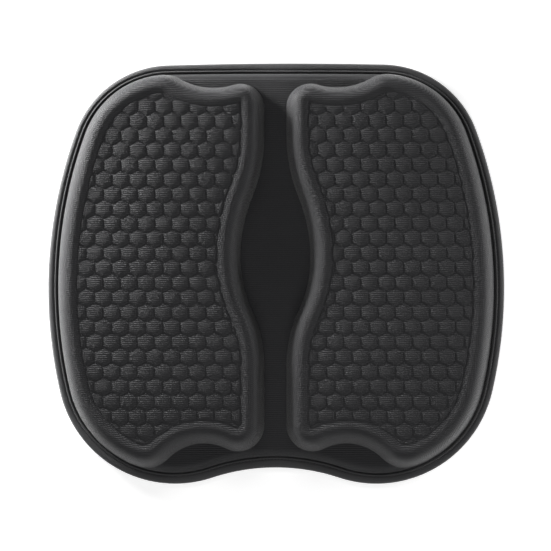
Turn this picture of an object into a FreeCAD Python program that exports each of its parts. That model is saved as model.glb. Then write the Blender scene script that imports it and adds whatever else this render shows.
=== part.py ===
import FreeCAD, Part
import math
import os

import Sketcher

# Seat cushion for an office chair, modelled in millimetres with +Z up.
# The origin is under the middle of the cushion, on the surface that it rests on.
# +X is the cushion's right as seen from above with the straight edge away from the viewer (+Y),
# and the notched edge is at -Y.  The cushion is symmetrical about the YZ plane.

document = FreeCAD.newDocument("SeatCushion")


# ---------------------------------------------------------------------------------------------
# Driving dimensions
# ---------------------------------------------------------------------------------------------

SIZES = (
    ("overall_width", 450.0, "widest part of the bound edge, side to side"),
    ("overall_depth", 416.0, "straight edge to the lowest point of the two hips"),
    ("overall_height", 45.0, "floor to the top of the lobes"),
    ("straight_edge_radius", 4000.0, "very slight bow of the straight edge"),
    ("corner_radius", 99.0, "corners beside the straight edge"),
    ("side_radius", 455.0, "bowed sides"),
    ("side_shift", 12.9, "how far the widest point sits towards the notched edge"),
    ("hip_radius", 117.0, "rounded hips beside the notch"),
    ("notch_radius", 199.0, "shallow notch between the hips"),
    ("floor_clearance", 0.2, "gap under the lower thread of the bound edge"),
    ("thread_thickness", 0.3, "sewing thread as it lies on the tape"),
    ("thread_width", 0.8, "width of the line of stitches"),
    ("stitch_inset", 4.0, "outer edge of the cushion to the line of stitches"),
    ("tape_thickness", 0.5, "woven binding tape"),
    ("binding_width", 9.0, "width of the binding seen from above or below"),
    ("binding_gap", 0.3, "tape to the step up to the padding"),
    ("bottom_cover_thickness", 1.0, "non-slip cloth underneath"),
    ("base_pad_thickness", 7.0, "firm foam slab"),
    ("base_rim_thickness", 1.5, "rim of the slab, pressed flat inside the binding"),
    ("foam_thickness", 3.0, "foam bonded behind the top cloth"),
    ("foam_rim_thickness", 1.2, "the same foam pressed flat inside the binding"),
    ("skin_thickness", 1.0, "knitted top cloth"),
    ("land_round", 5.0, "rounding of the low padding beside the binding"),
    ("lobe_setback", 0.5, "low padding's edge to the outer side of a lobe"),
    ("lobe_round", 18.0, "rolled shoulder of a lobe"),
    ("channel_width", 21.0, "channel between the lobes at both ends"),
    ("waist_width", 68.0, "channel between the lobes at its widest"),
    ("waist_shift", 14.0, "how far the widest part sits towards the straight edge"),
    ("straight_neck", 28.6, "straight stretch of the channel, towards the straight edge"),
    ("notched_neck", 59.6, "straight stretch of the channel, towards the notched edge"),
    ("straight_inner_drop", 21.4, "straight edge to the inner bump of a lobe"),
    ("straight_inner_round", 24.0, "inner bump at the straight edge"),
    ("straight_scallop_round", 67.0, "hollow between the bumps at the straight edge"),
    ("straight_outer_round", 31.0, "outer bump at the straight edge"),
    ("straight_outer_shift", 5.8, "middle of the corner's arc to that outer bump, sideways"),
    ("notched_inner_drop", 18.25, "edge of the notch to the inner bump of a lobe"),
    ("notched_inner_round", 26.0, "inner bump at the notched edge"),
    ("notched_scallop_round", 49.0, "hollow between the bumps at the notched edge"),
    ("notched_outer_round", 32.0, "outer bump at the notched edge"),
    ("notched_outer_shift", 28.1, "middle of the hip's arc to that outer bump, sideways"),
    ("dot_diameter", 8.0, "silicone grip dot"),
    ("dot_pitch", 32.0, "spacing of the dots in a row"),
    ("dot_edge_inset", 17.0, "outer edge to the middles of the dots that follow it"),
)

EDGE_DOT_COUNT = 26

sheet = document.addObject("Spreadsheet::Sheet", "Sizes")
for row, (alias, value, meaning) in enumerate(SIZES, start=1):
    sheet.set("A%d" % row, meaning)
    sheet.set("B%d" % row, str(value))
    sheet.setAlias("B%d" % row, alias)
document.recompute()


# A length is a tuple of aliases that are added up.  A leading "-" takes one away.

def amount(terms):
    """The length in millimetres."""
    total = 0.0
    for term in terms:
        sign = -1.0 if term.startswith("-") else 1.0
        total += sign * float(sheet.getPropertyByName(term.lstrip("-")))
    return total


def size(alias):
    return amount((alias,))


def formula(terms):
    """The same length as an expression that reads the sheet."""
    text = ""
    for term in terms:
        text += " - " if term.startswith("-") else " + "
        text += "Sizes." + term.lstrip("-")
    return "0" + text


# Heights of the layers, from the floor up.
TAPE_LOW = ("floor_clearance", "thread_thickness")
COVER_LOW = TAPE_LOW + ("tape_thickness",)
PAD_LOW = COVER_LOW + ("bottom_cover_thickness",)
PAD_RIM_TOP = PAD_LOW + ("base_rim_thickness",)
PAD_TOP = PAD_LOW + ("base_pad_thickness",)
FOAM_RIM_TOP = PAD_RIM_TOP + ("foam_rim_thickness",)
FOAM_LAND_TOP = PAD_TOP + ("foam_thickness",)
SKIN_RIM_TOP = FOAM_RIM_TOP + ("skin_thickness",)
SKIN_LAND_TOP = FOAM_LAND_TOP + ("skin_thickness",)
TAPE_TOP = SKIN_RIM_TOP + ("tape_thickness",)
SKIN_LOBE_TOP = ("overall_height",)
FOAM_LOBE_TOP = SKIN_LOBE_TOP + ("-skin_thickness",)
CORE_TOP = FOAM_LOBE_TOP + ("-foam_thickness",)

# Each layer lies inside the one above it by these thicknesses.
SKIN_INSET = ()
FOAM_INSET = ("skin_thickness",)
CORE_INSET = ("skin_thickness", "foam_thickness")

# Insets from the cushion's outer edge.
LAYER_EDGE = ("tape_thickness",)
LAND_EDGE = ("binding_width", "binding_gap")
LOBE_EDGE = LAND_EDGE + ("lobe_setback",)

# The two ends of a lobe: which way each lies, and the arc of the outer edge beside it.
ENDS = {
    "straight": {"upward": 1, "neighbour": "corner"},
    "notched": {"upward": -1, "neighbour": "hip"},
}


def negative(terms):
    """The terms with their signs turned round."""
    return tuple(term[1:] if term.startswith("-") else "-" + term for term in terms)


# ---------------------------------------------------------------------------------------------
# Plan outlines: chains of arcs and straight lines that run smoothly into one another
# ---------------------------------------------------------------------------------------------

def meeting_point(first, first_distance, second, second_distance, side):
    """The point at the two given distances from two centres, right (+1) or left (-1) of the
    way from the first centre to the second."""
    gap = second - first
    along = (first_distance ** 2 - second_distance ** 2 + gap.Length ** 2) / (2.0 * gap.Length)
    across = math.sqrt(first_distance ** 2 - along ** 2)
    forward = gap.normalize()
    sideways = FreeCAD.Vector(forward.y, -forward.x, 0)
    return first + forward * along + sideways * (side * across)


def outline_centres():
    """Centres of the arcs of the right half of the cushion's outer edge."""
    straight = FreeCAD.Vector(0, size("overall_depth") / 2 - size("straight_edge_radius"), 0)
    side = FreeCAD.Vector(size("overall_width") / 2 - size("side_radius"), -size("side_shift"), 0)
    corner = meeting_point(
        straight, size("straight_edge_radius") - size("corner_radius"),
        side, size("side_radius") - size("corner_radius"), 1)
    hip_y = size("hip_radius") - size("overall_depth") / 2
    hip_reach = size("side_radius") - size("hip_radius")
    hip_x = side.x + math.sqrt(hip_reach ** 2 - (hip_y - side.y) ** 2)
    hip = FreeCAD.Vector(hip_x, hip_y, 0)
    notch_reach = size("notch_radius") + size("hip_radius")
    notch = FreeCAD.Vector(0, hip_y - math.sqrt(notch_reach ** 2 - hip_x ** 2), 0)
    return {"straight": straight, "corner": corner, "side": side, "hip": hip, "notch": notch}


def inner_bump(end, outer):
    """Centre of the bump beside the channel at one end of the right lobe."""
    inner_round = size(end + "_inner_round")
    x = size("channel_width") / 2 + inner_round
    if end == "straight":
        return FreeCAD.Vector(x, size("overall_depth") / 2 - size(end + "_inner_drop") - inner_round, 0)
    reach = size("notch_radius") + size(end + "_inner_drop") + inner_round
    return FreeCAD.Vector(x, outer["notch"].y + math.sqrt(reach ** 2 - x ** 2), 0)


def bay_bend(end, inner):
    """Radius of the two equal arcs, one hollow and one round, that widen the channel."""
    length = abs(inner.y - size("waist_shift")) - size(end + "_neck")
    depth = (size("waist_width") - size("channel_width")) / 2
    return (length ** 2 + depth ** 2) / (4 * depth)


def lobe_centres():
    """Centres of the arcs of the right lobe, apart from those it shares with the outer edge."""
    outer = outline_centres()
    centres = {}
    for end, facts in ENDS.items():
        upward = facts["upward"]
        inner_round = size(end + "_inner_round")
        inner = inner_bump(end, outer)
        centres[end + "_inner"] = inner

        bend = bay_bend(end, inner)
        ease_x = size("channel_width") / 2 + bend
        waist_x = size("waist_width") / 2 - bend
        ease_y = inner.y - upward * size(end + "_neck")
        centres[end + "_ease"] = FreeCAD.Vector(ease_x, ease_y, 0)
        centres[end + "_waist"] = FreeCAD.Vector(waist_x, size("waist_shift"), 0)

        neighbour = facts["neighbour"]
        outer_round = size(end + "_outer_round")
        outer_shift = size(end + "_outer_shift")
        outer_reach = size(neighbour + "_radius") - amount(LOBE_EDGE) - outer_round
        outer_rise = upward * math.sqrt(outer_reach ** 2 - outer_shift ** 2)
        outer_bump = outer[neighbour] + FreeCAD.Vector(outer_shift, outer_rise, 0)
        centres[end + "_outer"] = outer_bump

        scallop = size(end + "_scallop_round")
        centres[end + "_scallop"] = meeting_point(
            inner, scallop + inner_round, outer_bump, scallop + outer_round, -upward)
    return centres


def touch(first, second):
    """The point where two neighbouring pieces of a chain run into one another."""
    if first["kind"] == "line":
        return FreeCAD.Vector(first["place"], second["centre"].y, 0)
    if second["kind"] == "line":
        return FreeCAD.Vector(second["place"], first["centre"].y, 0)
    apart = second["centre"] - first["centre"]
    if first["kind"] != second["kind"] or first["radius"] > second["radius"]:
        return first["centre"] + apart.normalize() * first["radius"]
    return first["centre"] - apart.normalize() * first["radius"]


def draw_chain(sketch, pieces):
    """Draws a closed chain, given anticlockwise, and ties each piece smoothly to the next."""
    joints = [touch(piece, pieces[(place + 1) % len(pieces)]) for place, piece in enumerate(pieces)]
    ends = []
    first_index = sketch.GeometryCount
    for place, piece in enumerate(pieces):
        start = joints[place - 1]
        finish = joints[place]
        if piece["kind"] == "line":
            sketch.addGeometry(Part.LineSegment(start, finish), False)
            ends.append((1, 2))
            continue
        start_angle = math.atan2(start.y - piece["centre"].y, start.x - piece["centre"].x)
        finish_angle = math.atan2(finish.y - piece["centre"].y, finish.x - piece["centre"].x)
        circle = Part.Circle(piece["centre"], FreeCAD.Vector(0, 0, 1), piece["radius"])
        if piece["kind"] == "convex":
            sketch.addGeometry(Part.ArcOfCircle(circle, start_angle, finish_angle), False)
            ends.append((1, 2))
        else:
            sketch.addGeometry(Part.ArcOfCircle(circle, finish_angle, start_angle), False)
            ends.append((2, 1))
    for place in range(len(pieces)):
        following = (place + 1) % len(pieces)
        sketch.addConstraint(Sketcher.Constraint(
            "Tangent", first_index + place, ends[place][1],
            first_index + following, ends[following][0]))
    return {piece["name"]: first_index + place for place, piece in enumerate(pieces)}


def convex(name, centre, radius_terms, inset):
    return {"name": name, "kind": "convex", "centre": centre,
            "terms": radius_terms + negative(inset),
            "radius": amount(radius_terms + negative(inset))}


def concave(name, centre, radius_terms, inset):
    return {"name": name, "kind": "concave", "centre": centre,
            "terms": radius_terms + inset,
            "radius": amount(radius_terms + inset)}


def upright(name, place):
    return {"name": name, "kind": "line", "place": place}


def bay_arcs(end, centres, inset):
    """The round and the hollow arc of the channel's widening at one end."""
    bend = bay_bend(end, centres[end + "_inner"])
    ease = {"name": end + "_ease", "kind": "convex", "centre": centres[end + "_ease"],
            "radius": bend - amount(inset)}
    waist = {"name": end + "_waist", "kind": "concave", "centre": centres[end + "_waist"],
             "radius": bend + amount(inset)}
    return ease, waist


def mirrored(centre):
    return FreeCAD.Vector(-centre.x, centre.y, 0)


def drive(sketch, kind, where, expression):
    """Adds a dimension to the sketch and ties it to the sheet."""
    number = sketch.addConstraint(Sketcher.Constraint(kind, *where))
    sketch.setExpression("Constraints[%d]" % number, expression)


def drive_radii(sketch, pieces, index):
    """Ties every radius to the sheet, apart from those that the neighbours settle."""
    for piece in pieces:
        if piece.get("terms"):
            drive(sketch, "Radius", (index[piece["name"]], piece["radius"]), formula(piece["terms"]))


def drive_shared_centres(sketch, index, centres):
    """Places the side and hip arcs, which the outer edge and the lobes have in common."""
    side = centres["side"]
    drive(sketch, "DistanceX", (index["side"], 3, -1, 1, -side.x),
          "Sizes.side_radius - Sizes.overall_width / 2")
    drive(sketch, "DistanceY", (index["side"], 3, -1, 1, -side.y), "Sizes.side_shift")
    drive(sketch, "DistanceY", (index["hip"], 3, -1, 1, -centres["hip"].y),
          "Sizes.overall_depth / 2 - Sizes.hip_radius")


def draw_outline(sketch, inset):
    """The cushion's outer edge, moved inwards by the inset."""
    centres = outline_centres()
    pieces = (
        convex("straight", centres["straight"], ("straight_edge_radius",), inset),
        convex("left_corner", mirrored(centres["corner"]), ("corner_radius",), inset),
        convex("left_side", mirrored(centres["side"]), ("side_radius",), inset),
        convex("left_hip", mirrored(centres["hip"]), ("hip_radius",), inset),
        concave("notch", centres["notch"], ("notch_radius",), inset),
        convex("hip", centres["hip"], ("hip_radius",), inset),
        convex("side", centres["side"], ("side_radius",), inset),
        convex("corner", centres["corner"], ("corner_radius",), inset),
    )
    index = draw_chain(sketch, pieces)
    drive_radii(sketch, pieces, index)
    drive_shared_centres(sketch, index, centres)
    sketch.addConstraint(Sketcher.Constraint("PointOnObject", index["straight"], 3, -2))
    drive(sketch, "DistanceY", (index["straight"], 3, -1, 1, -centres["straight"].y),
          "Sizes.straight_edge_radius - Sizes.overall_depth / 2")
    sketch.addConstraint(Sketcher.Constraint(
        "Symmetric", index["left_side"], 3, index["side"], 3, -2))
    drive(sketch, "DistanceY", (index["left_hip"], 3, -1, 1, -centres["hip"].y),
          "Sizes.overall_depth / 2 - Sizes.hip_radius")


def draw_lobe(sketch, inset):
    """The right lobe's foot, moved inwards by the inset."""
    outer = outline_centres()
    own = lobe_centres()
    edge = LOBE_EDGE + inset
    channel_side = size("channel_width") / 2 + amount(inset)
    straight_ease, straight_waist = bay_arcs("straight", own, inset)
    notched_ease, notched_waist = bay_arcs("notched", own, inset)
    pieces = (
        convex("straight_inner", own["straight_inner"], ("straight_inner_round",), inset),
        upright("straight_channel", channel_side),
        straight_ease,
        straight_waist,
        notched_waist,
        notched_ease,
        upright("notched_channel", channel_side),
        convex("notched_inner", own["notched_inner"], ("notched_inner_round",), inset),
        concave("notched_scallop", own["notched_scallop"], ("notched_scallop_round",), inset),
        convex("notched_outer", own["notched_outer"], ("notched_outer_round",), inset),
        convex("hip", outer["hip"], ("hip_radius",), edge),
        convex("side", outer["side"], ("side_radius",), edge),
        convex("corner", outer["corner"], ("corner_radius",), edge),
        convex("straight_outer", own["straight_outer"], ("straight_outer_round",), inset),
        concave("straight_scallop", own["straight_scallop"], ("straight_scallop_round",), inset),
    )
    index = draw_chain(sketch, pieces)
    drive_radii(sketch, pieces, index)
    drive_shared_centres(sketch, index, outer)
    for end, facts in ENDS.items():
        drive_lobe_end(sketch, index, own, end, facts, inset)
    drive_inner_bumps(sketch, index, own, outer)
    waist = index["straight_waist"]
    waist_side = size("waist_width") / 2 + amount(inset)
    drive(sketch, "DistanceX", (-1, 1, waist, 1, waist_side),
          "Sizes.waist_width / 2 + " + formula(inset))
    for point in (1, 3):
        drive(sketch, "DistanceY", (-1, 1, waist, point, size("waist_shift")),
              "Sizes.waist_shift")
    hold_corner(sketch, index["corner"], outer)


def drive_lobe_end(sketch, index, own, end, facts, inset):
    """Places the channel side, the bumps and the widening at one end of a lobe."""
    line = index[end + "_channel"]
    channel_side = size("channel_width") / 2 + amount(inset)
    sketch.addConstraint(Sketcher.Constraint("Vertical", line))
    drive(sketch, "DistanceX", (-1, 1, line, 1, channel_side),
          "Sizes.channel_width / 2 + " + formula(inset))

    inner = index[end + "_inner"]
    ease = index[end + "_ease"]
    lower, upper = (ease, inner) if facts["upward"] > 0 else (inner, ease)
    drive(sketch, "DistanceY", (lower, 3, upper, 3, size(end + "_neck")), "Sizes.%s_neck" % end)

    middle = (own[end + "_ease"] + own[end + "_waist"]) / 2
    point = sketch.addGeometry(Part.Point(middle), True)
    sketch.addConstraint(Sketcher.Constraint(
        "Symmetric", ease, 3, index[end + "_waist"], 3, point, 1))
    drive(sketch, "DistanceX", (-1, 1, point, 1, middle.x),
          "(Sizes.channel_width + Sizes.waist_width) / 4")

    drive(sketch, "DistanceX",
          (index[facts["neighbour"]], 3, index[end + "_outer"], 3, size(end + "_outer_shift")),
          "Sizes.%s_outer_shift" % end)


def drive_inner_bumps(sketch, index, own, outer):
    """Sets one inner bump back from the straight edge and the other from the notch."""
    drive(sketch, "DistanceY", (-1, 1, index["straight_inner"], 3, own["straight_inner"].y),
          "Sizes.overall_depth / 2 - Sizes.straight_inner_drop - Sizes.straight_inner_round")
    notch = sketch.addGeometry(Part.Point(outer["notch"]), True)
    sketch.addConstraint(Sketcher.Constraint("PointOnObject", notch, 1, -2))
    drive(sketch, "Distance", (notch, 1, index["hip"], 3, (outer["hip"] - outer["notch"]).Length),
          "Sizes.notch_radius + Sizes.hip_radius")
    bump_reach = (own["notched_inner"] - outer["notch"]).Length
    drive(sketch, "Distance", (notch, 1, index["notched_inner"], 3, bump_reach),
          "Sizes.notch_radius + Sizes.notched_inner_drop + Sizes.notched_inner_round")


def hold_corner(sketch, corner, centres):
    """Keeps the corner's arc, which the lobe shares, smooth with the cushion's straight edge."""
    centre = centres["straight"]
    middle = sketch.addGeometry(Part.Point(centre), True)
    sketch.addConstraint(Sketcher.Constraint("PointOnObject", middle, 1, -2))
    drive(sketch, "DistanceY", (middle, 1, -1, 1, -centre.y),
          "Sizes.straight_edge_radius - Sizes.overall_depth / 2")
    drive(sketch, "Distance", (middle, 1, corner, 3, (centres["corner"] - centre).Length),
          "Sizes.straight_edge_radius - Sizes.corner_radius")


# ---------------------------------------------------------------------------------------------
# Features that the pieces are made from
# ---------------------------------------------------------------------------------------------

def new_body(label):
    body = document.addObject("PartDesign::Body", label)
    body.Label = label
    return body


def flat_sketch(body, name, height, draw, inset):
    """A horizontal sketch in a body, at a height made of the given terms."""
    sketch = body.newObject("Sketcher::SketchObject", name)
    planes = [part for part in body.Origin.OriginFeatures if part.Role == "XY_Plane"]
    sketch.AttachmentSupport = [(planes[0], "")]
    sketch.MapMode = "FlatFace"
    sketch.setExpression("AttachmentOffset.Base.z", formula(height))
    draw(sketch, inset)
    return sketch


def pad(body, name, draw, inset, low, high):
    """A plate between two heights, whose plan is drawn with the inset."""
    feature = body.newObject("PartDesign::Pad", name)
    feature.Profile = flat_sketch(body, name + "_plan", low, draw, inset)
    feature.setExpression("Length", formula(high + negative(low)))
    document.recompute()
    return feature


def pocket(body, name, draw, inset, high, low):
    """Takes the plan drawn with the inset out of a body, from one height down to another."""
    before = body.Shape.Volume
    feature = body.newObject("PartDesign::Pocket", name)
    feature.Profile = flat_sketch(body, name + "_plan", high, draw, inset)
    feature.setExpression("Length", formula(high + negative(low)))
    document.recompute()
    if not body.Shape.Volume < before:
        raise RuntimeError(name + " takes nothing away")
    return feature


def round_top(body, name, base, radius):
    """Rounds the edges of a feature's top face."""
    faces = base.Shape.Faces
    top = max(range(len(faces)), key=lambda number: faces[number].CenterOfMass.z)
    feature = body.newObject("PartDesign::Fillet", name)
    feature.Base = (base, ["Face%d" % (top + 1)])
    feature.setExpression("Radius", formula(radius))
    document.recompute()
    return feature


def lobe_body(label, inset, low, high):
    """The right lobe of one layer, with its rolled shoulder."""
    body = new_body(label)
    block = pad(body, label + "_block", draw_lobe, inset, low, high)
    round_top(body, label + "_shoulder", block, ("lobe_round",) + negative(inset))
    return body


def left_hand(label, source):
    """The mirror image of a piece on the other side of the YZ plane."""
    mirror = document.addObject("Part::Mirroring", label)
    mirror.Label = label
    mirror.Source = source
    mirror.Normal = FreeCAD.Vector(1, 0, 0)
    document.recompute()
    return mirror


def fused(label, members):
    fusion = document.addObject("Part::MultiFuse", label)
    fusion.Label = label
    fusion.Shapes = members
    document.recompute()
    return fusion


def cut(label, base, tool):
    difference = document.addObject("Part::Cut", label)
    difference.Label = label
    difference.Base = base
    difference.Tool = tool
    document.recompute()
    return difference


def padded_form(label, inset, rim_top, land_top, lobe_top):
    """Everything inside one layer's upper surface: the rim held in the binding, the low padding
    and the two lobes."""
    rim = new_body(label + "_rim")
    pad(rim, label + "_rim_plate", draw_outline, LAYER_EDGE, PAD_LOW, rim_top)
    land = new_body(label + "_land")
    plate = pad(land, label + "_land_plate", draw_outline, LAND_EDGE + inset, PAD_LOW, land_top)
    round_top(land, label + "_land_edge", plate, ("land_round",) + negative(inset))
    right = lobe_body(label + "_right_lobe", inset, PAD_LOW, lobe_top)
    left = left_hand(label + "_left_lobe", right)
    return fused(label, [rim, land, right, left])


# ---------------------------------------------------------------------------------------------
# Filling: a firm foam slab that carries two blocks of memory foam
# ---------------------------------------------------------------------------------------------

base_pad = new_body("base_pad")
pad(base_pad, "base_rim", draw_outline, LAYER_EDGE, PAD_LOW, PAD_RIM_TOP)
pad(base_pad, "base_slab", draw_outline, LAND_EDGE + CORE_INSET, PAD_LOW, PAD_TOP)

right_lobe_core = lobe_body("right_lobe_core", CORE_INSET, PAD_TOP, CORE_TOP)
left_lobe_core = left_hand("left_lobe_core", right_lobe_core)


# ---------------------------------------------------------------------------------------------
# Upholstery: foam-backed knitted cloth over the filling, non-slip cloth underneath
# ---------------------------------------------------------------------------------------------

filling = fused("filling", [base_pad, right_lobe_core, left_lobe_core])
foam_form = padded_form("foam_form", FOAM_INSET, FOAM_RIM_TOP, FOAM_LAND_TOP, FOAM_LOBE_TOP)
skin_form = padded_form("skin_form", SKIN_INSET, SKIN_RIM_TOP, SKIN_LAND_TOP, SKIN_LOBE_TOP)

cover_foam = cut("cover_foam", foam_form, filling)
top_cover = cut("top_cover", skin_form, foam_form)

bottom_cover = new_body("bottom_cover")
pad(bottom_cover, "bottom_cloth", draw_outline, LAYER_EDGE, COVER_LOW, PAD_LOW)


# ---------------------------------------------------------------------------------------------
# Bound edge: tape folded round the raw edges, and the two threads of its lockstitch
# ---------------------------------------------------------------------------------------------

edge_binding = new_body("edge_binding")
pad(edge_binding, "binding_block", draw_outline, (), TAPE_LOW, TAPE_TOP)
pocket(edge_binding, "binding_fold", draw_outline, LAYER_EDGE, SKIN_RIM_TOP, COVER_LOW)
pocket(edge_binding, "binding_middle", draw_outline, ("binding_width",), TAPE_TOP, TAPE_LOW)


def stitch_line(label, low):
    """One thread of the seam, as a flat cord that runs all the way round."""
    body = new_body(label)
    high = low + ("thread_thickness",)
    inner_side = ("stitch_inset", "thread_width")
    pad(body, label + "_cord", draw_outline, ("stitch_inset",), low, high)
    pocket(body, label + "_middle", draw_outline, inner_side, high, low)
    return body


needle_thread = stitch_line("needle_thread", TAPE_TOP)
bobbin_thread = stitch_line("bobbin_thread", ("floor_clearance",))


# ---------------------------------------------------------------------------------------------
# Silicone grip dots printed on the non-slip cloth
# ---------------------------------------------------------------------------------------------

def outline_wire(inset):
    """The cushion's outer edge as a wire, moved inwards by the inset."""
    plan = document.addObject("Sketcher::SketchObject", "dot_guide")
    draw_outline(plan, inset)
    document.recompute()
    return plan.Shape.Wires[0]


def grip_dots(label, places):
    """A group of round dots between the floor and the cloth."""
    dots = []
    for place in places:
        dot = document.addObject("Part::Cylinder", label + "_dot")
        dot.setExpression("Radius", "Sizes.dot_diameter / 2")
        dot.setExpression("Height", formula(COVER_LOW))
        dot.Placement.Base = FreeCAD.Vector(place.x, place.y, 0)
        dots.append(dot)
    group = document.addObject("Part::Compound", label)
    group.Label = label
    group.Links = dots
    return group


def field_places(boundary):
    """Staggered rows of points inside the boundary, with one point at the origin."""
    pitch = size("dot_pitch")
    row_pitch = pitch * math.sqrt(3.0) / 2.0
    area = Part.Face(boundary)
    row_reach = math.ceil(size("overall_depth") / 2 / row_pitch)
    column_reach = math.ceil(size("overall_width") / 2 / pitch)
    places = []
    for row_number in range(-row_reach, row_reach + 1):
        stagger = pitch / 2 if row_number % 2 else 0.0
        for column in range(-column_reach, column_reach + 1):
            place = FreeCAD.Vector(column * pitch + stagger, row_number * row_pitch, 0)
            if area.isInside(place, 0.001, True):
                places.append(place)
    return places


edge_row = outline_wire(("dot_edge_inset",))
edge_places = edge_row.discretize(Number=EDGE_DOT_COUNT + 1)[:-1]
grip_dots_edge = grip_dots("grip_dots_edge", edge_places)

field_boundary = outline_wire(("dot_edge_inset", "dot_diameter", "dot_diameter"))
grip_dots_field = grip_dots("grip_dots_field", field_places(field_boundary))


# ---------------------------------------------------------------------------------------------
# Check every feature, then write each piece
# ---------------------------------------------------------------------------------------------

PIECES = (
    top_cover,
    cover_foam,
    right_lobe_core,
    left_lobe_core,
    base_pad,
    bottom_cover,
    edge_binding,
    needle_thread,
    bobbin_thread,
    grip_dots_edge,
    grip_dots_field,
)

document.recompute()
for item in document.Objects:
    for state in ("Invalid", "Error"):
        if state in item.State:
            raise RuntimeError("%s is %s" % (item.Label, state))
for piece in PIECES:
    if piece.Shape.isNull() or not piece.Shape.isValid():
        raise RuntimeError("%s has no valid shape" % piece.Label)

os.makedirs("parts", exist_ok=True)
for piece in PIECES:
    piece.Shape.exportStep("parts/%s.step" % piece.Label)
    print("%-18s %2d solids, %9.1f mm3" % (piece.Label, len(piece.Shape.Solids), piece.Shape.Volume))
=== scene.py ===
import math

import bpy
import numpy as np
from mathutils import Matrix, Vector, geometry, kdtree


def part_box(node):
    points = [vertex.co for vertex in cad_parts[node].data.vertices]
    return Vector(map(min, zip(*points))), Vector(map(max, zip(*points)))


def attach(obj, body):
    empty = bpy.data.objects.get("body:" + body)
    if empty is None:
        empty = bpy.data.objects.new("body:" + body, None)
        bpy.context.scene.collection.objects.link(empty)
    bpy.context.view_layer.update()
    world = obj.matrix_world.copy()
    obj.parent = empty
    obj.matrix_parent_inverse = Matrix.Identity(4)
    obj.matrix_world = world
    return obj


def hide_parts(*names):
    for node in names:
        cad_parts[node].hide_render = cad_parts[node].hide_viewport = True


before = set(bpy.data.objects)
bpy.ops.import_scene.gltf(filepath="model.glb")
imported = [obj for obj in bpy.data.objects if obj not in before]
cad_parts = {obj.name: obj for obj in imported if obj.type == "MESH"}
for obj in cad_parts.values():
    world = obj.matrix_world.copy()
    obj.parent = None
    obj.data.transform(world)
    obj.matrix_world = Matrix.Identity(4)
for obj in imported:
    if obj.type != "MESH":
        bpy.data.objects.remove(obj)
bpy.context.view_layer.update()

# Seat cushion.  The shapes are worked out in millimetres from the frame's nodes, and every mesh
# is written in metres.
MM = 0.001


def box_mm(node):
    """Lowest and highest corner of a node of the frame."""
    low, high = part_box(node)
    return np.array(low) / MM, np.array(high) / MM


# ---------------------------------------------------------------------------------------------
# Moulded cover.  Charcoal knitted cloth bonded to thin foam and pressed hot in a mould, which
# gives it the two lobes with their rolled rims and the fields of raised hexagons.  Its edge is
# flat and is held all round in the binding.
# ---------------------------------------------------------------------------------------------

lobe_crest = box_mm("top_cover")[1][2]
cover_thickness = lobe_crest - box_mm("right_lobe_core")[1][2]
pad_top = box_mm("base_pad")[1][2]
land_height = pad_top + cover_thickness
layers_inset = box_mm("edge_binding")[1][0] - box_mm("bottom_cover")[1][0]
cover_rim_top = 5.6

edge_pitch = 2.2
seam_inset = 6.6
seam_to_edge = 2.1
tape_reach = seam_inset + seam_to_edge
gap_inset, gap_depth = 9.9, 2.0
wall_tuck = 0.8
land_slope_start, land_slope_width = 10.0, 8.0
land_slope_fullness = 0.85
land_slope_wander = 0.7
pad_slope_width = 3.3
roll_width = 18.5
roll_fullness = 3.4
roll_squareness = 1.5
roll_fall = 0.9
core_round = 14.0
core_clearance = 0.15
crease_inset = 22.6
crease_depth = 0.45
field_inset = crease_inset + 0.6
field_crown = 1.0
hexagon_width = 16.65
hexagon_start = np.array([0.3, 1.5])
hexagon_height = 1.15
hexagon_rounding = 4.0
hexagon_sink = 0.7


def loop_area(loop):
    """Area inside a closed loop, positive when it runs anticlockwise."""
    after = np.roll(loop, -1, axis=0)
    return np.sum(loop[:, 0] * after[:, 1] - loop[:, 1] * after[:, 0]) / 2


def underside_loop(node):
    """The outline of a node's flat underside, anticlockwise, in millimetres."""
    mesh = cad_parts[node].data
    mesh.calc_loop_triangles()
    points = np.array([vertex.co[:] for vertex in mesh.vertices]) / MM
    keys = {}
    merged = [keys.setdefault(tuple(np.round(point, 3)), len(keys)) for point in points]
    places = np.array(list(keys))
    floor_height = places[:, 2].min()
    following = {}
    for triangle in mesh.loop_triangles:
        corners = [merged[number] for number in triangle.vertices]
        if max(places[corner][2] for corner in corners) > floor_height + 0.01:
            continue
        for start, finish in zip(corners, corners[1:] + corners[:1]):
            following[(start, finish)] = True
    border = {start: finish for start, finish in following if (finish, start) not in following}
    loop = [next(iter(border))]
    while border[loop[-1]] != loop[0]:
        loop.append(border[loop[-1]])
    outline = places[loop][:, :2]
    return outline if loop_area(outline) > 0 else outline[::-1]


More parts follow.
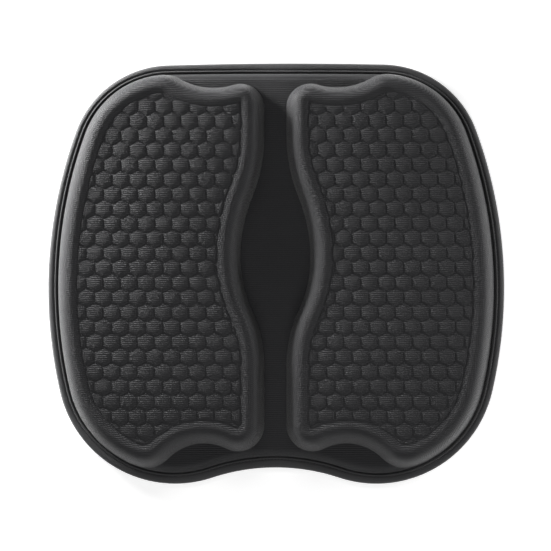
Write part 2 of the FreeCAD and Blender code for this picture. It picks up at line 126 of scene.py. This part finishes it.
def smooth_loop(corners, pitch):
    """Evenly spaced points on a smooth closed curve through the corners, and outward normals."""
    before, after = np.roll(corners, 1, axis=0), np.roll(corners, -1, axis=0)
    beyond = np.roll(corners, -2, axis=0)
    steps = np.linspace(0, 1, 16, endpoint=False)[:, None]
    curve = []
    for start, first, second, last in zip(before, corners, after, beyond):
        gap = np.linalg.norm(second - first)
        leaving = (second - start) / np.linalg.norm(second - start) * gap
        arriving = (last - first) / np.linalg.norm(last - first) * gap
        curve.append((2 * steps ** 3 - 3 * steps ** 2 + 1) * first
                     + (steps ** 3 - 2 * steps ** 2 + steps) * leaving
                     + (3 * steps ** 2 - 2 * steps ** 3) * second
                     + (steps ** 3 - steps ** 2) * arriving)
    curve = np.concatenate(curve)
    closed = np.vstack([curve, curve[:1]])
    travelled = np.concatenate([[0], np.cumsum(np.linalg.norm(np.diff(closed, axis=0), axis=1))])
    count = int(round(travelled[-1] / pitch))
    wanted = np.arange(count) * travelled[-1] / count
    points = np.stack([np.interp(wanted, travelled, closed[:, axis]) for axis in (0, 1)], axis=1)
    along = np.roll(points, -1, axis=0) - np.roll(points, 1, axis=0)
    along /= np.linalg.norm(along, axis=1)[:, None]
    return points, np.stack([along[:, 1], -along[:, 0]], axis=1)


def nearest_numbers(points, loop):
    """Number of the loop's point that is nearest to each point."""
    tree = kdtree.KDTree(len(loop))
    for number, (x, y) in enumerate(loop):
        tree.insert((x, y, 0), number)
    tree.balance()
    return np.array([tree.find((x, y, 0))[1] for x, y in points])


def depth_inside(points, loop):
    """Distance of each point from a closed anticlockwise loop, positive inside it."""
    nearest = nearest_numbers(points, loop)
    depths = np.full(len(points), np.inf)
    for first in (nearest - 1, nearest):
        start, side = loop[first], np.roll(loop, -1, axis=0)[first] - loop[first]
        offset = points - start
        share = np.clip((offset * side).sum(1) / (side ** 2).sum(1), 0, 1)
        gap = np.linalg.norm(offset - share[:, None] * side, axis=1)
        leftward = np.sign(side[:, 0] * offset[:, 1] - side[:, 1] * offset[:, 0])
        depths = np.where(gap < np.abs(depths), gap * leftward, depths)
    return depths


def ease(values):
    """0 below 0, 1 above 1 and smooth between."""
    share = np.clip(values, 0, 1)
    return share * share * (3 - 2 * share)


def soft_larger(first, second, softness):
    """The larger of two heights, blended where they are about equal."""
    share = np.clip(0.5 + 0.5 * (first - second) / softness, 0, 1)
    return second + (first - second) * share + softness * share * (1 - share)


cushion_loop, cushion_normals = smooth_loop(underside_loop("bottom_cover"), edge_pitch)
cushion_loop = cushion_loop + cushion_normals * layers_inset
core_loop, core_normals = smooth_loop(underside_loop("right_lobe_core"), edge_pitch)
lobe_loop = core_loop + core_normals * cover_thickness


def hexagon_edge_distance(points):
    """How far each point is inside its hexagon of the moulded pattern, the same on both lobes."""
    points = np.stack([np.abs(points[:, 0]), points[:, 1]], axis=1) - hexagon_start
    row_height = hexagon_width * math.sqrt(3) / 2
    apothem = hexagon_width / 2
    lean = np.array([[1.0, 0.0], [0.5, math.sqrt(3) / 2], [0.5, -math.sqrt(3) / 2]])
    row = np.round(points[:, 1] / row_height)
    best = np.full(len(points), -np.inf)
    for shift in (-1, 0, 1):
        stagger = np.where((row + shift) % 2 == 0, 0.0, 0.5)
        column = np.round(points[:, 0] / hexagon_width - stagger)
        centre = np.stack([(column + stagger) * hexagon_width, (row + shift) * row_height], axis=1)
        reach = np.abs((points - centre) @ lean.T).max(axis=1)
        best = np.maximum(best, apothem - reach)
    return best


def tape_wander(points):
    """How far the binding lies inwards of its usual place.  It was sewn on unevenly: narrower
    along both sides and wider along the straight and, most of all, the notched edge."""
    angle = np.arctan2(points[:, 1], points[:, 0])
    front_and_back = -0.75 * np.cos(2 * angle) - 0.45 * np.sin(angle)
    between_corners = 0.35 * np.cos(4 * angle) + 0.4 * np.sin(2 * angle)
    return between_corners + front_and_back


def lobe_depth(points):
    """How far each point is inside the foot of the lobe on its side."""
    folded = np.stack([np.abs(points[:, 0]), points[:, 1]], axis=1)
    return depth_inside(folded, lobe_loop)


def lobe_height(depth, points):
    """Height of the lobe's outer face: a steep wall, the roll and the field of hexagons."""
    across = np.clip(depth / roll_width, 0, 1)
    shoulder = (1 - (1 - across) ** roll_fullness) ** (1 / roll_squareness)
    height = cover_rim_top + (lobe_crest - cover_rim_top) * shoulder
    height -= roll_fall * ease((depth - roll_width + 2) / (crease_inset - roll_width + 2))
    height += field_crown * (1 - np.exp(-np.clip(depth - field_inset, 0, None) / 30))
    inward = np.clip(hexagon_edge_distance(points) / (hexagon_width / 2), 0, 1)
    pillow = hexagon_height * (1 - (1 - inward) ** hexagon_rounding)
    height += ease((depth - crease_inset) / 1.2) * (pillow - hexagon_sink)
    height -= crease_depth * np.exp(-((depth - crease_inset) / 0.8) ** 2)
    return np.where(depth > 0, height, cover_rim_top + 8 * depth)


def land_height_over(edge_depth, wander, rim, level, width):
    """Height of the flat ground round the lobes, which curves down to the rim in the binding."""
    start = land_slope_start + land_slope_wander * wander
    up_slope = np.clip((edge_depth - start) / width, 0, 1)
    return rim + (level - rim) * (1 - (1 - up_slope) ** 2) ** land_slope_fullness


def outer_height(points):
    """Height of the cover's knitted face."""
    edge_depth = depth_inside(points, cushion_loop)
    wander = tape_wander(points)
    land = land_height_over(edge_depth, wander, cover_rim_top, land_height, land_slope_width)
    # The gap beside the binding is deepest along the sides, where the walls are close to it.
    groove = gap_depth * (0.35 + 0.65 * np.clip(np.abs(points[:, 0]) / 200, 0, 1) ** 2)
    land -= groove * np.exp(-((edge_depth - gap_inset - wander) / 0.7) ** 2)
    softness = 3.0 * ease((edge_depth - 10) / 4) + 0.2
    depth = lobe_depth(points) - wall_tuck * ease((14 - edge_depth) / 3)
    return soft_larger(lobe_height(depth, points), land, softness)


def inner_height(points):
    """Height of the cover's foam back, which lies on the pad and on the lobe cores."""
    edge_depth = depth_inside(points, cushion_loop)
    depth = lobe_depth(points) - cover_thickness + core_clearance
    low = cover_rim_top - cover_thickness / 2
    land = land_height_over(edge_depth, tape_wander(points), low, pad_top + core_clearance,
                            pad_slope_width)
    across = np.clip(depth / core_round, 0, 1)
    crest = lobe_crest - cover_thickness + core_clearance
    lobe = crest - core_round * (1 - np.sqrt(1 - (1 - across) ** 2))
    return np.maximum(np.where(depth > 0, lobe, low), land)


def ring(loop, normals, inset):
    return loop - normals * inset


def both_sides(points):
    return np.concatenate([points, points * (-1, 1)])


def hexagon_points(fine):
    """Points that follow the hexagons: on their edges, round their shoulders and on their tops."""
    row_height = hexagon_width * math.sqrt(3) / 2
    apothem = hexagon_width / 2
    corner_angles = np.radians(np.arange(30, 390, 60))
    corners = np.stack([np.cos(corner_angles), np.sin(corner_angles)], axis=1)
    shape = [np.zeros((1, 2))]
    for inset, per_side in fine:
        radius = (apothem - inset) * 2 / math.sqrt(3)
        for start, finish in zip(corners, np.roll(corners, -1, axis=0)):
            share = (np.arange(per_side) / per_side)[:, None]
            shape.append((start + (finish - start) * share) * radius)
    shape = np.concatenate(shape)
    rows = range(int(-200 / row_height), int(200 / row_height) + 1)
    columns = range(int(220 / hexagon_width) + 1)
    places = []
    for row in rows:
        for column in columns:
            centre = ((column + 0.5 * (row % 2)) * hexagon_width, row * row_height)
            places.append(shape + centre + hexagon_start)
    points = both_sides(np.concatenate(places))
    return points[np.unique(np.round(points, 2), axis=0, return_index=True)[1]]


def triangulated(points, inset):
    """Triangles over flat points, apart from those nearer to the outline than the inset."""
    flat = [Vector(point) for point in points]
    places, _, faces, *_ = geometry.delaunay_2d_cdt(flat, [], [], 0, 1e-4)
    places = np.array([place[:] for place in places])
    faces = np.array(faces)
    middles = places[faces].mean(axis=1)
    return places, faces[depth_inside(middles, cushion_loop) > inset]


def new_piece(name, vertices, faces):
    """A mesh object from vertices in millimetres, which rides on the cushion."""
    mesh = bpy.data.meshes.new(name)
    mesh.from_pydata((np.asarray(vertices) * MM).tolist(), [], [list(face) for face in faces])
    mesh.update()
    mesh.shade_smooth()
    piece = bpy.data.objects.new(name, mesh)
    bpy.context.scene.collection.objects.link(piece)
    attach(piece, "root")
    return piece


cover_edge_inset = 2.6
rim_insets = (cover_edge_inset, 5.0)
gap_insets = (8.3, 8.9, 9.3, 9.6, 9.9, 10.2, 10.6, 11.1, 11.8, 12.7, 13.8, 15.3, 17.2, 19.2)
outer_foot_insets = (-5.0, -3.2, -1.8, -0.8)
outer_roll_insets = (0.0, 0.15, 0.35, 0.65, 1.05, 1.6, 2.3, 3.2, 4.3, 5.6, 7.2, 9.0, 11.0, 13.0,
                     15.0, 17.0, 18.8, 20.0, 20.8, 21.4, 21.9, 22.3, 22.7, 23.1, 23.6, 24.1)
inner_foot_insets = (-2.0, 1.0, 3.0)
inner_roll_insets = (3.75, 3.9, 4.2, 4.8, 5.8, 7.2, 9.0, 11.5, 14.5, 18.5)


def cover_plan(foot_insets, roll_insets, field_points):
    """Flat points of one face of the cover, closer together where it bends."""
    wander = tape_wander(cushion_loop)[:, None]
    rim = [ring(cushion_loop, cushion_normals, inset) for inset in rim_insets]
    rim += [ring(cushion_loop, cushion_normals, inset + wander) for inset in gap_insets]
    rim = np.concatenate(rim)
    rim = rim[depth_inside(rim, cushion_loop) > cover_edge_inset - 0.05]
    rim = rim[lobe_depth(rim) < roll_insets[0] - 0.15]

    feet = both_sides(np.concatenate([ring(lobe_loop, core_normals, inset) for inset in foot_insets]))
    feet = feet[depth_inside(feet, cushion_loop) > gap_insets[-1] + tape_wander(feet) + 1.0]

    spacing = 4.0
    land = np.array([(x + spacing / 2 * (row % 2), row * spacing * 0.87)
                     for row in range(-56, 57) for x in np.arange(-120, 121, spacing)])
    land = land[depth_inside(land, cushion_loop) > gap_insets[-1] + tape_wander(land) + 1.0]
    land = land[lobe_depth(land) < foot_insets[0] - 2]

    rolls = both_sides(np.concatenate([ring(lobe_loop, core_normals, inset)
                                       for inset in roll_insets]))
    field = field_points[lobe_depth(field_points) > roll_insets[-1] + 0.5]
    return np.concatenate([rim, feet, land, rolls, field])


def closed_sheet(name, top, top_heights, under, under_heights):
    """One closed shell from an upper and a lower face, each given as its places and faces."""
    count = len(top[0])
    vertices = np.concatenate([np.column_stack([top[0], top_heights]),
                               np.column_stack([under[0], under_heights])])
    faces = [tuple(face) for face in np.concatenate([top[1], under[1][:, ::-1] + count])]
    faces += edge_strip(faces, vertices, count)
    used = np.unique(np.concatenate([np.array(face) for face in faces]))
    numbers = {old: new for new, old in enumerate(used)}
    faces = [tuple(numbers[number] for number in face) for face in faces]
    return new_piece(name, vertices[used], faces)


def edge_strip(faces, vertices, outer_count):
    """Faces that join the open borders of the upper and the lower face."""
    directed = set()
    for first, second, third in faces:
        directed.update(((first, second), (second, third), (third, first)))
    border = [(start, finish) for start, finish in directed if (finish, start) not in directed]
    inner = np.unique([start for start, _ in border if start >= outer_count])
    partner = {}
    for start, _ in border:
        if start < outer_count:
            gaps = np.linalg.norm(vertices[inner, :2] - vertices[start, :2], axis=1)
            partner[start] = inner[gaps.argmin()]
    return [(finish, start, partner[start], partner[finish])
            for start, finish in border if start < outer_count]


def build_cover():
    """The laminated cover: knitted outer face, foam back and the cut edge between them."""
    fine = hexagon_points(((0.0, 7), (0.5, 7), (1.1, 6), (1.9, 5), (3.0, 4), (4.8, 3), (6.6, 1)))
    coarse = hexagon_points(((0.0, 1),))
    outer_plan = cover_plan(outer_foot_insets, outer_roll_insets, fine)
    inner_plan = cover_plan(inner_foot_insets, inner_roll_insets, coarse)
    outer = triangulated(outer_plan, cover_edge_inset)
    inner = triangulated(inner_plan, cover_edge_inset)
    return closed_sheet("moulded_cover", outer, outer_height(outer[0]), inner, inner_height(inner[0]))


cover = build_cover()
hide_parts("top_cover", "cover_foam")


def new_material(name):
    """An empty node material with its shader."""
    material = bpy.data.materials.new(name)
    material.use_nodes = True
    shader = material.node_tree.nodes["Principled BSDF"]
    return material, material.node_tree, shader


def math_node(tree, operation, *values):
    """A sum on up to three values, each a number or another node's output."""
    node = tree.nodes.new("ShaderNodeMath")
    node.operation = operation
    for socket, value in zip(node.inputs, values):
        if isinstance(value, (int, float)):
            socket.default_value = value
        else:
            tree.links.new(value, socket)
    return node.outputs[0]


def ramp(tree, source, low, high):
    """Two colours mixed by a value from 0 to 1."""
    node = tree.nodes.new("ShaderNodeValToRGB")
    node.color_ramp.elements[0].color = (*low, 1)
    node.color_ramp.elements[1].color = (*high, 1)
    tree.links.new(source, node.inputs[0])
    return node.outputs[0]


def place_parts(tree, coordinate="Object"):
    """The x, y and z of the surface, in metres."""
    source = tree.nodes.new("ShaderNodeTexCoord")
    split = tree.nodes.new("ShaderNodeSeparateXYZ")
    tree.links.new(source.outputs[coordinate], split.inputs[0])
    return source.outputs[coordinate], split.outputs


def noise(tree, place, scale, detail=2.0):
    node = tree.nodes.new("ShaderNodeTexNoise")
    node.inputs["Scale"].default_value = scale
    node.inputs["Detail"].default_value = detail
    tree.links.new(place, node.inputs["Vector"])
    return node.outputs["Fac"]


def raise_surface(tree, shader, height, depth):
    """Bumps the surface by a height from 0 to 1, scaled to a depth in metres."""
    bump = tree.nodes.new("ShaderNodeBump")
    bump.inputs["Strength"].default_value = 1.0
    bump.inputs["Distance"].default_value = depth
    tree.links.new(height, bump.inputs["Height"])
    tree.links.new(bump.outputs[0], shader.inputs["Normal"])


def knit_material():
    """Knit with crosswise courses, each a row of small V-shaped loops."""
    course, wale = 1.85 * MM, 1.3 * MM
    material, tree, shader = new_material("charcoal_knit")
    place, (x, y, z) = place_parts(tree)
    wobble = math_node(tree, "MULTIPLY", noise(tree, place, 90.0), 0.5 * MM)
    column = math_node(tree, "DIVIDE", math_node(tree, "ADD", x, z), wale)
    from_middle = math_node(tree, "SUBTRACT", math_node(tree, "FRACT", column), 0.5)
    leg = math_node(tree, "ABSOLUTE", from_middle)
    lean = math_node(tree, "MULTIPLY", leg, course * 0.7)
    slant = math_node(tree, "ADD", lean, wobble)
    level = math_node(tree, "ADD", math_node(tree, "ADD", y, z), slant)
    turns = math_node(tree, "MULTIPLY", level, 2 * math.pi / course)
    rows = math_node(tree, "MULTIPLY_ADD", math_node(tree, "SINE", turns), 0.5, 0.5)
    between_legs = math_node(tree, "SINE", math_node(tree, "MULTIPLY", leg, 2 * math.pi))
    legs = math_node(tree, "MULTIPLY_ADD", between_legs, 0.35, 0.65)
    yarn = math_node(tree, "MULTIPLY", rows, legs)
    fuzz = noise(tree, place, 2600.0, 3.0)
    height = math_node(tree, "MULTIPLY_ADD", fuzz, 0.25, yarn)
    patch = math_node(tree, "MULTIPLY", noise(tree, place, 14.0), 0.3)
    shade = math_node(tree, "MULTIPLY_ADD", yarn, 0.75, patch)
    colour = ramp(tree, shade, (0.009, 0.009, 0.0098), (0.030, 0.030, 0.0325))
    tree.links.new(colour, shader.inputs["Base Color"])
    shader.inputs["Roughness"].default_value = 0.5
    shader.inputs["Specular IOR Level"].default_value = 0.2
    shader.inputs["Sheen Weight"].default_value = 0.15
    shader.inputs["Sheen Roughness"].default_value = 0.5
    raise_surface(tree, shader, height, 0.28 * MM)
    return material


def dress(piece, material):
    piece.data.materials.clear()
    piece.data.materials.append(material)


dress(cover, knit_material())


# ---------------------------------------------------------------------------------------------
# Filling.  Two blocks of slow memory foam stand on a slab of firm foam.  All three are cut from
# sheet, bonded with spray glue and closed in by the cover, so they show only on an opened one.
# ---------------------------------------------------------------------------------------------

def foam_material(name, dark, light, cell):
    """Open-cell foam: rounded cells of about the given size, with slight stains."""
    material, tree, shader = new_material(name)
    place, _ = place_parts(tree)
    cells = tree.nodes.new("ShaderNodeTexVoronoi")
    cells.inputs["Scale"].default_value = 1.0 / cell
    tree.links.new(place, cells.inputs["Vector"])
    walls = math_node(tree, "MULTIPLY", cells.outputs["Distance"], 0.6)
    mixed = math_node(tree, "MULTIPLY_ADD", noise(tree, place, 25.0), 0.6, walls)
    tree.links.new(ramp(tree, mixed, dark, light), shader.inputs["Base Color"])
    shader.inputs["Roughness"].default_value = 0.9
    shader.inputs["Specular IOR Level"].default_value = 0.2
    raise_surface(tree, shader, cells.outputs["Distance"], 0.3 * MM)
    return material


memory_foam = foam_material("memory_foam_cream", (0.62, 0.58, 0.46), (0.86, 0.82, 0.7), 0.7 * MM)
firm_foam = foam_material("firm_foam_grey", (0.12, 0.12, 0.13), (0.3, 0.3, 0.32), 1.4 * MM)
for node, material in (("right_lobe_core", memory_foam), ("left_lobe_core", memory_foam),
                       ("base_pad", firm_foam)):
    dress(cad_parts[node], material)


# ---------------------------------------------------------------------------------------------
# Bottom cover.  Black non-slip cloth, a coarse plain weave cut to the cushion's outline and
# sewn flat under the firm foam by the binding.
# ---------------------------------------------------------------------------------------------

def woven_material(name, yarn, dark, light, depth, slanted=False):
    """Plain weave of yarns of the given width, one set over and under the other."""
    material, tree, shader = new_material(name)
    place, (x, y, _) = place_parts(tree, "UV" if slanted else "Object")
    if slanted:
        x = math_node(tree, "ADD", x, y)
    over = math_node(tree, "SINE", math_node(tree, "MULTIPLY", x, math.pi / yarn))
    under = math_node(tree, "SINE", math_node(tree, "MULTIPLY", y, math.pi / yarn))
    both = math_node(tree, "MULTIPLY", over, under)
    crossing = math_node(tree, "MULTIPLY_ADD", both, 0.5, 0.5)
    grain = noise(tree, place, 1500.0, 3.0)
    height = math_node(tree, "MULTIPLY_ADD", grain, 0.3, crossing)
    tree.links.new(ramp(tree, height, dark, light), shader.inputs["Base Color"])
    shader.inputs["Roughness"].default_value = 0.7
    shader.inputs["Sheen Weight"].default_value = 0.2
    raise_surface(tree, shader, height, depth)
    return material


cloth_low, cloth_high = box_mm("bottom_cover")[0][2], box_mm("bottom_cover")[1][2]
pucker_depth = 0.3
pucker_pitch = 14.0
cloth_slack = 0.06
cloth_grid = 6.0
cloth_edge_insets = (layers_inset, 5.0, 9.2, 10.2, 11.5, 13.0, 15.0, 17.5, 20.5, 24.0)


def build_bottom_cloth():
    """A thin closed sheet.  The seam gathers it into shallow puckers that fade inwards."""
    rings = [ring(cushion_loop, cushion_normals, inset) for inset in cloth_edge_insets]
    grid = np.array([(x + cloth_grid / 2 * (row % 2), row * cloth_grid * 0.87)
                     for row in range(-40, 41) for x in np.arange(-228, 229, cloth_grid)])
    grid = grid[depth_inside(grid, cushion_loop) > cloth_edge_insets[-1] + cloth_grid / 2]
    places, faces = triangulated(np.concatenate(rings + [grid]), layers_inset)
    inward = depth_inside(places, cushion_loop)
    along = nearest_numbers(places, cushion_loop) * edge_pitch
    waves = 0.5 + 0.5 * np.sin(2 * math.pi * along / pucker_pitch + 1.5 * np.sin(along / 47))
    puckers = waves * ease((inward - 9.5) / 2) * (1 - ease((inward - 12) / 14))
    ripples = 1 + np.sin(places[:, 0] / 8) * np.sin(places[:, 1] / 9)
    slack = cloth_slack * ripples * ease((inward - 20) / 10)
    under_heights = cloth_low - pucker_depth * puckers - slack
    return closed_sheet("bottom_cloth", (places, faces), np.full(len(places), cloth_high),
                        (places, faces), under_heights)


bottom_cloth = build_bottom_cloth()
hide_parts("bottom_cover")
dress(bottom_cloth, woven_material("non_slip_weave", 0.8 * MM, (0.006, 0.006, 0.007),
                                   (0.024, 0.024, 0.026), 0.2 * MM))


# ---------------------------------------------------------------------------------------------
# Edge binding.  Woven polyester tape, folded round the raw edges of every layer and sewn
# through.  The stitches pull it in, so it stands up as a soft bead along its inner edge.
# ---------------------------------------------------------------------------------------------

binding_low, binding_top = box_mm("edge_binding")[0][2], box_mm("edge_binding")[1][2]
tape_thickness = 0.5

# The tape's section, as insets from the cushion's edge and heights: over the top from the inner
# edge out to the fold, back along the underside, and then along the inside of the fold.
over_top = [(tape_reach, binding_top - 2.2), (tape_reach + 0.05, binding_top - 1.1),
            (tape_reach - 0.2, binding_top - 0.3), (tape_reach - 0.55, binding_top + 0.2),
            (tape_reach - 0.95, binding_top + 0.35), (tape_reach - 1.4, binding_top + 0.2),
            (tape_reach - 1.8, binding_top - 0.35), (seam_inset, binding_top - 0.95),
            (seam_inset - 0.6, binding_top - 0.65), (seam_inset - 1.5, binding_top - 0.15),
            (seam_inset - 2.4, binding_top), (2.2, binding_top - 0.2),
            (1.2, binding_top - 0.85), (0.4, binding_top - 1.9), (0.02, binding_top - 3.0)]
under_side = [(0.3, binding_low + 1.0), (1.2, binding_low + 0.25), (2.4, binding_low + 0.05),
              (4.6, binding_low + 0.15), (6.5, binding_low + 0.05), (9.0, binding_low + 0.1)]
inside = [(9.0, binding_low + tape_thickness), (1.2, binding_low + tape_thickness),
          (0.6, binding_low + 1.6), (0.6, binding_top - 2.6), (1.6, binding_top - 1.0),
          (seam_inset, binding_top - 1.45), (tape_reach - 1.0, binding_top - 0.3),
          (tape_reach - 0.5, binding_top - 2.2)]
tape_section = over_top + under_side + inside


def sweep(name, loop, normals, section):
    """A closed section carried round a closed outline, with a map in metres for its weave."""
    stations, corners = len(loop), len(section)
    vertices = []
    for inset, height in section:
        insets = inset + tape_wander(loop)[:, None] * ease((inset - 1.2) / 2.5)
        vertices.append(np.column_stack([ring(loop, normals, insets), np.full(stations, height)]))
    vertices = np.concatenate(vertices)
    faces = []
    for corner in range(corners):
        for station in range(stations):
            ahead, beside = (station + 1) % stations, (corner + 1) % corners
            faces.append((corner * stations + station, corner * stations + ahead,
                          beside * stations + ahead, beside * stations + station))
    piece = new_piece(name, vertices, faces)
    along = np.linalg.norm(np.roll(loop, -1, axis=0) - loop, axis=1).mean() * MM
    section = np.array(section + section[:1])
    across = np.concatenate([[0], np.cumsum(np.linalg.norm(np.diff(section, axis=0), axis=1))]) * MM
    weave_map = piece.data.uv_layers.new(name="weave")
    places = []
    for corner in range(corners):
        for station in range(stations):
            near, far = station * along, (station + 1) * along
            places += [near, across[corner], far, across[corner],
                       far, across[corner + 1], near, across[corner + 1]]
    weave_map.data.foreach_set("uv", places)
    return piece


tape = sweep("edge_tape", cushion_loop, cushion_normals, tape_section)
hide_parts("edge_binding")
dress(tape, woven_material("tape_weave", 0.55 * MM, (0.009, 0.009, 0.0098), (0.034, 0.034, 0.036),
                           0.16 * MM, slanted=True))


# ---------------------------------------------------------------------------------------------
# Seam.  A lockstitch in charcoal polyester thread holds the binding: needle thread above and
# bobbin thread below, each stitch a short bar that dives into the tape at both ends.
# ---------------------------------------------------------------------------------------------

stitch_pitch = 3.1
stitch_radius = 0.3


def stitch_row(name, height, upward):
    """All the stitches of one thread, as rounded bars along the tape."""
    places, normals = smooth_loop(cushion_loop, stitch_pitch)
    places = ring(places, normals, seam_inset + tape_wander(places)[:, None])
    directions = np.stack([-normals[:, 1], normals[:, 0]], axis=1)
    length = stitch_pitch * 0.82
    rings, sides = 7, 6
    vertices, faces = [], []
    for place, direction, normal in zip(places, directions, normals):
        first = len(vertices)
        for step in range(rings):
            share = step / (rings - 1) * 2 - 1
            middle = place + direction * (share * length / 2)
            lift = height + upward * 0.35 * (1 - share ** 2) - upward * 0.15
            radius = stitch_radius * math.sqrt(max(1 - share ** 6, 0.05))
            for side in range(sides):
                angle = 2 * math.pi * side / sides
                spot = middle + normal * (math.cos(angle) * radius)
                vertices.append((*spot, lift + math.sin(angle) * radius))
        for step in range(rings - 1):
            for side in range(sides):
                here = first + step * sides
                beside = (side + 1) % sides
                faces.append((here + side, here + sides + side,
                              here + sides + beside, here + beside))
        faces.append(tuple(first + side for side in range(sides)))
        faces.append(tuple(first + (rings - 1) * sides + side for side in reversed(range(sides))))
    return new_piece(name, vertices, faces)


def thread_material():
    """Twisted polyester thread: fine slanting plies with a slight gloss."""
    material, tree, shader = new_material("polyester_thread")
    place, (x, y, z) = place_parts(tree)
    slant = math_node(tree, "ADD", math_node(tree, "ADD", x, y), z)
    twist = math_node(tree, "SINE", math_node(tree, "MULTIPLY", slant, 2 * math.pi / (0.35 * MM)))
    plies = math_node(tree, "MULTIPLY_ADD", twist, 0.5, 0.5)
    colour = ramp(tree, plies, (0.014, 0.014, 0.015), (0.04, 0.04, 0.043))
    tree.links.new(colour, shader.inputs["Base Color"])
    shader.inputs["Roughness"].default_value = 0.42
    raise_surface(tree, shader, plies, 0.08 * MM)
    return material


thread = thread_material()
for name, node, height, upward in (
        ("needle_stitches", "needle_thread", binding_top - 0.7, 1),
        ("bobbin_stitches", "bobbin_thread", binding_low + 0.1, -1)):
    stitches = stitch_row(name, height, upward)
    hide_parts(node)
    dress(stitches, thread)


# ---------------------------------------------------------------------------------------------
# Grip dots.  Beads of silicone printed on the non-slip cloth and cured there: one row follows
# the edge, and staggered rows cover the rest.  Each is a low dome, flattened where it stands.
# ---------------------------------------------------------------------------------------------

dot_spacing = 20.0
dot_height = box_mm("bottom_cover")[0][2]
dot_radius = 4.0
dot_sides = 20
dot_profile = ((1.0, 0.0), (0.97, 0.25), (0.88, 0.6), (0.72, 0.88), (0.5, 1.0))


def dot_centres(node):
    """Middle of every separate dot in a node, found from its connected vertices."""
    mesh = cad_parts[node].data
    points = np.array([vertex.co[:2] for vertex in mesh.vertices]) / MM
    centres = []
    remaining = points
    while len(remaining):
        near = np.linalg.norm(remaining - remaining[0], axis=1) < dot_spacing / 2
        cluster = remaining[near]
        centres.append((cluster.min(axis=0) + cluster.max(axis=0)) / 2)
        remaining = remaining[~near]
    return centres


def dot_group(name, node):
    """Domed dots in the places of the node's dots."""
    vertices, faces = [], []
    for centre in dot_centres(node):
        first = len(vertices)
        for reach, drop in dot_profile:
            for side in range(dot_sides):
                angle = 2 * math.pi * side / dot_sides
                vertices.append((centre[0] + math.cos(angle) * dot_radius * reach,
                                 centre[1] + math.sin(angle) * dot_radius * reach,
                                 dot_height * (1 - drop)))
        for level in range(len(dot_profile) - 1):
            here = first + level * dot_sides
            for side in range(dot_sides):
                beside = (side + 1) % dot_sides
                faces.append((here + side, here + dot_sides + side,
                              here + dot_sides + beside, here + beside))
        last = first + (len(dot_profile) - 1) * dot_sides
        faces.append(tuple(first + side for side in range(dot_sides)))
        faces.append(tuple(last + side for side in reversed(range(dot_sides))))
    return new_piece(name, vertices, faces)


def silicone_material():
    """Cured silicone: dark, half matte, with faint dust."""
    material, tree, shader = new_material("dark_silicone")
    place, _ = place_parts(tree)
    colour = ramp(tree, noise(tree, place, 220.0, 3.0), (0.02, 0.02, 0.022), (0.06, 0.06, 0.064))
    tree.links.new(colour, shader.inputs["Base Color"])
    shader.inputs["Roughness"].default_value = 0.38
    raise_surface(tree, shader, noise(tree, place, 900.0), 0.05 * MM)
    return material


silicone = silicone_material()
for name, node in (("edge_dots", "grip_dots_edge"), ("field_dots", "grip_dots_field")):
    dots = dot_group(name, node)
    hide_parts(node)
    dress(dots, silicone)


# ---------------------------------------------------------------------------------------------
# Studio.  A pale floor that glows a little, so it stays white, and four soft boxes: a low bright
# one at the back left, a low weak one at the right, and two higher ones in front and behind.
# The camera looks down from almost straight above with a long lens.
# ---------------------------------------------------------------------------------------------

def pale_floor():
    mesh = bpy.data.meshes.new("studio_floor")
    reach = 30.0
    mesh.from_pydata([(-reach, -reach, 0), (reach, -reach, 0), (reach, reach, 0), (-reach, reach, 0)],
                     [], [(0, 1, 2, 3)])
    floor = bpy.data.objects.new("studio_floor", mesh)
    bpy.context.scene.collection.objects.link(floor)
    material, tree, shader = new_material("pale_paper")
    place, _ = place_parts(tree)
    colour = ramp(tree, noise(tree, place, 3.0), (0.93, 0.93, 0.93), (0.95, 0.95, 0.95))
    tree.links.new(colour, shader.inputs["Base Color"])
    shader.inputs["Roughness"].default_value = 0.9
    shader.inputs["Emission Color"].default_value = (1, 1, 1, 1)
    shader.inputs["Emission Strength"].default_value = 0.45
    floor.data.materials.append(material)


def soft_light(name, direction, elevation, distance, width, height, power):
    """A softbox seen from the cushion in a direction and at an elevation, both in degrees."""
    lamp = bpy.data.lights.new(name, "AREA")
    lamp.shape = "RECTANGLE"
    lamp.size = width
    lamp.size_y = height
    lamp.energy = power
    light = bpy.data.objects.new(name, lamp)
    turn, lift = math.radians(direction), math.radians(elevation)
    outward = Vector((math.cos(turn) * math.cos(lift), math.sin(turn) * math.cos(lift), math.sin(lift)))
    light.location = outward * distance + Vector((0, 0, 0.02))
    light.rotation_euler = (-outward).to_track_quat("-Z", "Y").to_euler()
    bpy.context.scene.collection.objects.link(light)


pale_floor()
soft_light("left_softbox", 145, 4, 0.9, 0.4, 0.13, 28)
soft_light("right_softbox", 15, 9, 0.9, 0.4, 0.15, 4.8)
soft_light("front_softbox", 270, 50, 1.3, 0.8, 0.4, 8.3)
soft_light("back_softbox", 100, 50, 1.2, 0.8, 0.3, 3.0)

world = bpy.data.worlds.new("studio_air")
world.use_nodes = True
world.node_tree.nodes["Background"].inputs[0].default_value = (1, 1, 1, 1)
world.node_tree.nodes["Background"].inputs[1].default_value = 0.035
bpy.context.scene.world = world
bpy.context.scene.view_settings.view_transform = "Standard"

lens = 170.0
camera_distance = 2.562
camera_tilt = math.radians(4.0)
camera_turn = math.radians(1.6)
camera_data = bpy.data.cameras.new("camera")
camera_data.lens = lens
camera = bpy.data.objects.new("camera", camera_data)
aim = Vector((0.0, -0.0035, 0.01))
camera.rotation_euler = (camera_tilt, camera_turn, 0)
camera.location = aim + camera.rotation_euler.to_matrix() @ Vector((0, 0, camera_distance))
bpy.context.scene.collection.objects.link(camera)
bpy.context.scene.camera = camera
